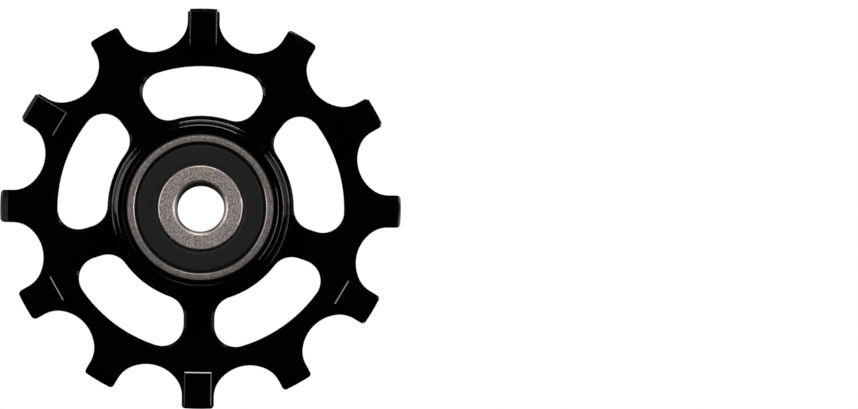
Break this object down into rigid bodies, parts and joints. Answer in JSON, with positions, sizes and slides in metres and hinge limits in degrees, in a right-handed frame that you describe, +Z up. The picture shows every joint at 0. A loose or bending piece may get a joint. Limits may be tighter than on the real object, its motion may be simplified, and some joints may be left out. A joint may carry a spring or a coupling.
{
  "type": "derailleur jockey wheel",
  "caption": "Toothed derailleur pulley with wide and narrow teeth by turns, a spoked plate and a sealed ball bearing in its hub; guides and tensions a bicycle chain.",
  "frame": {"origin": "middle of the bearing bore, on the spin axis", "axes": "+Y along the spin axis, away from the picture's side; +Z up through a wide tooth and the middle of a window; +X to the right as seen from the picture's side"},
  "size_m": [0.0508, 0.006, 0.0508],
  "materials": {
    "anodised_aluminium": "black anodised, glossy",
    "bearing_steel": "ground",
    "seal_rubber": "matte moulded",
    "cage_nylon": "natural moulded",
    "ball_ceramic": "polished"
  },
  "bodies": {
    "inner_ring": {"bearing_inner_ring": "bearing_steel"},
    "wheel": {"pulley_wheel": "anodised_aluminium", "bearing_outer_ring": "bearing_steel", "front_seal": "seal_rubber", "rear_seal": "seal_rubber"},
    "cage": {"ball_cage": "cage_nylon"},
    "ball_1": {"ball_1": "ball_ceramic"},
    "ball_2": {"ball_2": "ball_ceramic"},
    "ball_3": {"ball_3": "ball_ceramic"},
    "ball_4": {"ball_4": "ball_ceramic"},
    "ball_5": {"ball_5": "ball_ceramic"},
    "ball_6": {"ball_6": "ball_ceramic"}
  },
  "joints": [
    {"name": "wheel_spin", "type": "hinge", "parent": "inner_ring", "child": "wheel", "pos_m": [0, 0, 0], "axis": [0, 1, 0], "continuous": true},
    {"name": "cage_orbit", "type": "hinge", "parent": "inner_ring", "child": "cage", "pos_m": [0, 0, 0], "axis": [0, 1, 0], "continuous": true},
    {"name": "ball_1_spin", "type": "hinge", "parent": "cage", "child": "ball_1", "pos_m": [0, 0, 0.00625], "axis": [0, 1, 0], "continuous": true},
    {"name": "ball_2_spin", "type": "hinge", "parent": "cage", "child": "ball_2", "pos_m": [-0.00541, 0, 0.00313], "axis": [0, 1, 0], "continuous": true},
    {"name": "ball_3_spin", "type": "hinge", "parent": "cage", "child": "ball_3", "pos_m": [-0.00541, 0, -0.00313], "axis": [0, 1, 0], "continuous": true},
    {"name": "ball_4_spin", "type": "hinge", "parent": "cage", "child": "ball_4", "pos_m": [0, 0, -0.00625], "axis": [0, 1, 0], "continuous": true},
    {"name": "ball_5_spin", "type": "hinge", "parent": "cage", "child": "ball_5", "pos_m": [0.00541, 0, -0.00313], "axis": [0, 1, 0], "continuous": true},
    {"name": "ball_6_spin", "type": "hinge", "parent": "cage", "child": "ball_6", "pos_m": [0.00541, 0, 0.00313], "axis": [0, 1, 0], "continuous": true}
  ],
  "couplings": [
    {"joint": "cage_orbit", "follows": "wheel_spin", "ratio": 0.64},
    {"joint": "ball_1_spin", "follows": "wheel_spin", "ratio": 1.6457},
    {"joint": "ball_2_spin", "follows": "wheel_spin", "ratio": 1.6457},
    {"joint": "ball_3_spin", "follows": "wheel_spin", "ratio": 1.6457},
    {"joint": "ball_4_spin", "follows": "wheel_spin", "ratio": 1.6457},
    {"joint": "ball_5_spin", "follows": "wheel_spin", "ratio": 1.6457},
    {"joint": "ball_6_spin", "follows": "wheel_spin", "ratio": 1.6457}
  ]
}
